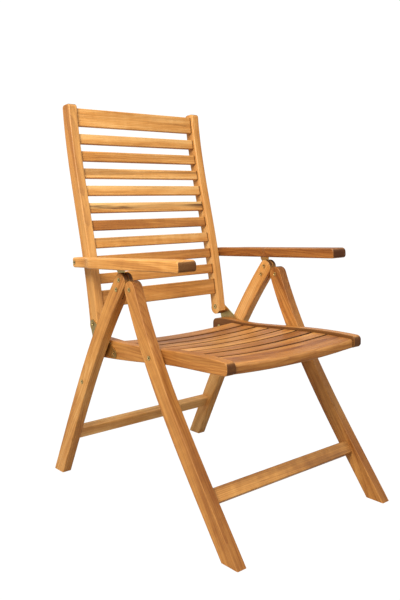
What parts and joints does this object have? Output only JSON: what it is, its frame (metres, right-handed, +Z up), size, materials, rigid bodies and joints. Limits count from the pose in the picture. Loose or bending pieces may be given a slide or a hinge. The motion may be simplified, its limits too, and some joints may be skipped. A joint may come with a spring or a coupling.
{
  "type": "folding armchair",
  "caption": "High-back folding hardwood armchair with slatted reclining back, hollowed slatted seat, A-shaped legs, notched armrests and brass pivots.",
  "frame": {"origin": "on the floor, below the middle of the chair's outline seen from above", "axes": "+Z up, the sitter faces -Y, +X to the sitter's left"},
  "size_m": [0.596, 0.8013, 1.0758],
  "materials": {
    "leg_wood": "oiled, satin",
    "seat_wood": "oiled, satin",
    "back_wood": "oiled, satin",
    "arm_wood": "oiled, satin",
    "plate_metal": "dull, yellow passivated",
    "rivet_brass": "satin"
  },
  "bodies": {
    "front_frame": {"front_leg_left": "leg_wood", "front_leg_right": "leg_wood", "front_stretcher": "leg_wood", "leg_pivot_rivets": "rivet_brass", "seat_pivot_pins": "rivet_brass", "seat_spacers": "rivet_brass"},
    "rear_frame": {"rear_leg_left": "leg_wood", "rear_leg_right": "leg_wood", "rear_stretcher": "leg_wood", "leg_plate_left": "plate_metal", "leg_plate_right": "plate_metal", "adjusting_pins": "rivet_brass", "leg_plate_rivets": "rivet_brass", "fold_link_lower_rivets": "rivet_brass"},
    "seat": {"seat_rail_left": "seat_wood", "seat_rail_right": "seat_wood", "seat_slat_1": "seat_wood", "seat_slat_2": "seat_wood", "seat_slat_3": "seat_wood", "seat_slat_4": "seat_wood", "seat_slat_5": "seat_wood", "seat_slat_6": "seat_wood", "seat_slat_7": "seat_wood", "seat_slat_8": "seat_wood", "back_hinge_plate_left": "plate_metal", "back_hinge_plate_right": "plate_metal", "hinge_plate_rivets": "rivet_brass", "fold_link_upper_rivets": "rivet_brass", "fold_link_washers": "rivet_brass", "seat_pivot_bushes": "rivet_brass"},
    "links": {"fold_link_left": "plate_metal", "fold_link_right": "plate_metal"},
    "back_pins": {"back_pivot_rivets": "rivet_brass", "back_pivot_bushes": "rivet_brass"},
    "back": {"back_stile_left": "back_wood", "back_stile_right": "back_wood", "back_top_rail": "back_wood", "back_bottom_rail": "back_wood", "back_slat_1": "back_wood", "back_slat_2": "back_wood", "back_slat_3": "back_wood", "back_slat_4": "back_wood", "back_slat_5": "back_wood", "back_slat_6": "back_wood", "back_slat_7": "back_wood", "back_slat_8": "back_wood", "back_slat_9": "back_wood"},
    "arm_pins": {"arm_pivot_pins": "rivet_brass", "arm_pivot_bushes": "rivet_brass", "arm_spacers": "rivet_brass"},
    "armrests": {"armrest_left": "arm_wood", "armrest_right": "arm_wood", "notch_rail_left": "arm_wood", "notch_rail_right": "arm_wood", "notch_rail_screws": "rivet_brass"}
  },
  "joints": [
    {"name": "fold", "type": "hinge", "parent": "front_frame", "child": "rear_frame", "pos_m": [0, -0.0085, 0.5775], "axis": [-1, 0, 0], "range_deg": [0, 58]},
    {"name": "seat_swing", "type": "hinge", "parent": "front_frame", "child": "seat", "pos_m": [0, -0.0877, 0.4174], "axis": [-1, 0, 0], "range_deg": [0, 88.93]},
    {"name": "link_swing", "type": "hinge", "parent": "seat", "child": "links", "pos_m": [0, 0.202, 0.3969], "axis": [-1, 0, 0], "range_deg": [0, 92.8]},
    {"name": "back_close", "type": "hinge", "parent": "seat", "child": "back_pins", "pos_m": [0, 0.2216, 0.4581], "axis": [1, 0, 0], "range_deg": [0, 83.13]},
    {"name": "recline", "type": "hinge", "parent": "back_pins", "child": "back", "pos_m": [0, 0.2216, 0.4581], "axis": [-1, 0, 0], "range_deg": [0, 25]},
    {"name": "arm_close", "type": "hinge", "parent": "back", "child": "arm_pins", "pos_m": [0, 0.25, 0.6305], "axis": [-1, 0, 0], "range_deg": [0, 112.13]},
    {"name": "arm_tilt", "type": "hinge", "parent": "arm_pins", "child": "armrests", "pos_m": [0, 0.25, 0.6305], "axis": [1, 0, 0], "range_deg": [0, 19.5]}
  ],
  "couplings": [
    {"joint": "seat_swing", "follows": "fold", "ratio": 1.5333},
    {"joint": "link_swing", "follows": "fold", "ratio": 1.6},
    {"joint": "back_close", "follows": "fold", "ratio": 1.4333},
    {"joint": "arm_close", "follows": "fold", "ratio": 1.9333},
    {"joint": "arm_tilt", "follows": "recline", "ratio": 0.78}
  ]
}
